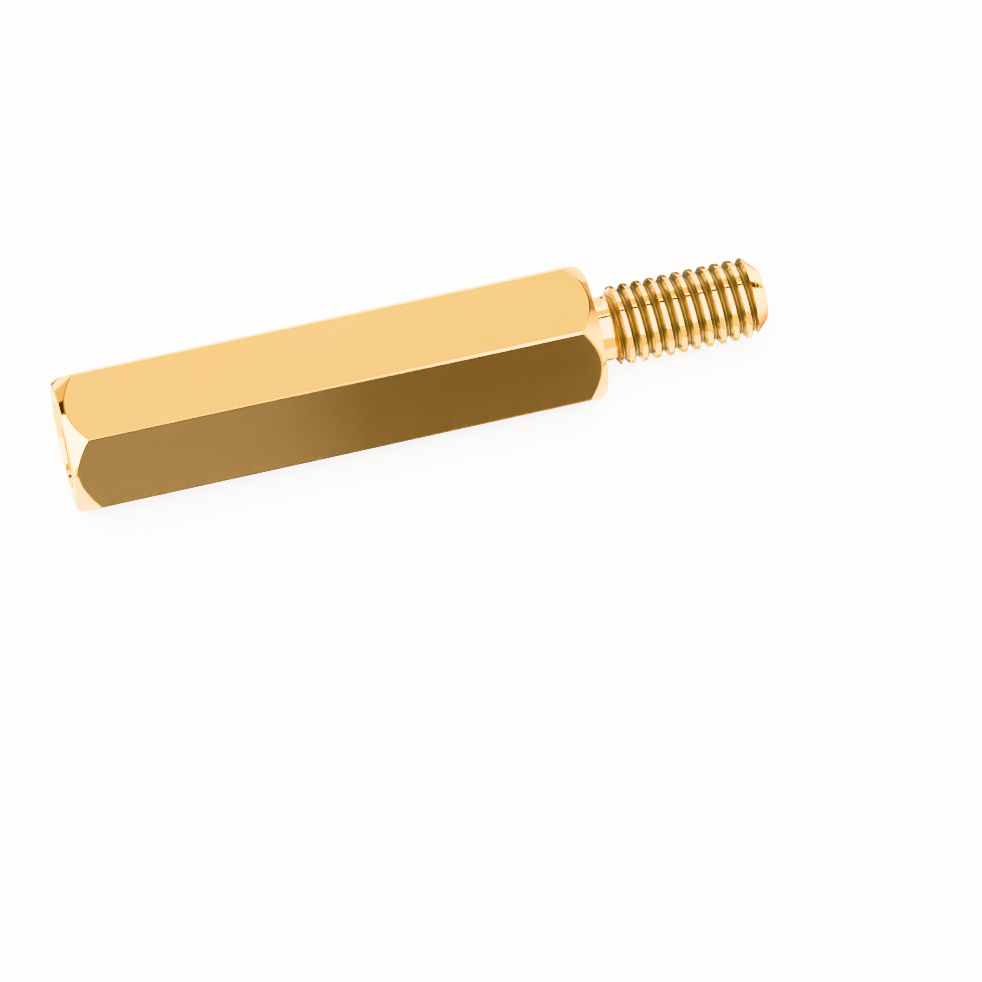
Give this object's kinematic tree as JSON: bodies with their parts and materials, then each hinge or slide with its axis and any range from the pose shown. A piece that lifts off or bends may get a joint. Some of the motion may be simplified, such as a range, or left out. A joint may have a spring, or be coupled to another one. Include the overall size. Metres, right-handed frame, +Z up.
{
  "type": "hex standoff",
  "caption": "Slim brass hexagonal spacer with a tapped blind hole in one end and a short threaded stud on the other, lying on one flat.",
  "frame": {"origin": "on the surface that the standoff lies on, under the middle of its overall length", "axes": "+X along the axis from the tapped end towards the tip of the stud, +Z up, square to the flat that it lies on"},
  "size_m": [0.0264, 0.0058, 0.005],
  "materials": {
    "brass": "bright drawn flats and turned ends, polished"
  },
  "bodies": {
    "root": {"standoff": "brass"}
  },
  "joints": []
}
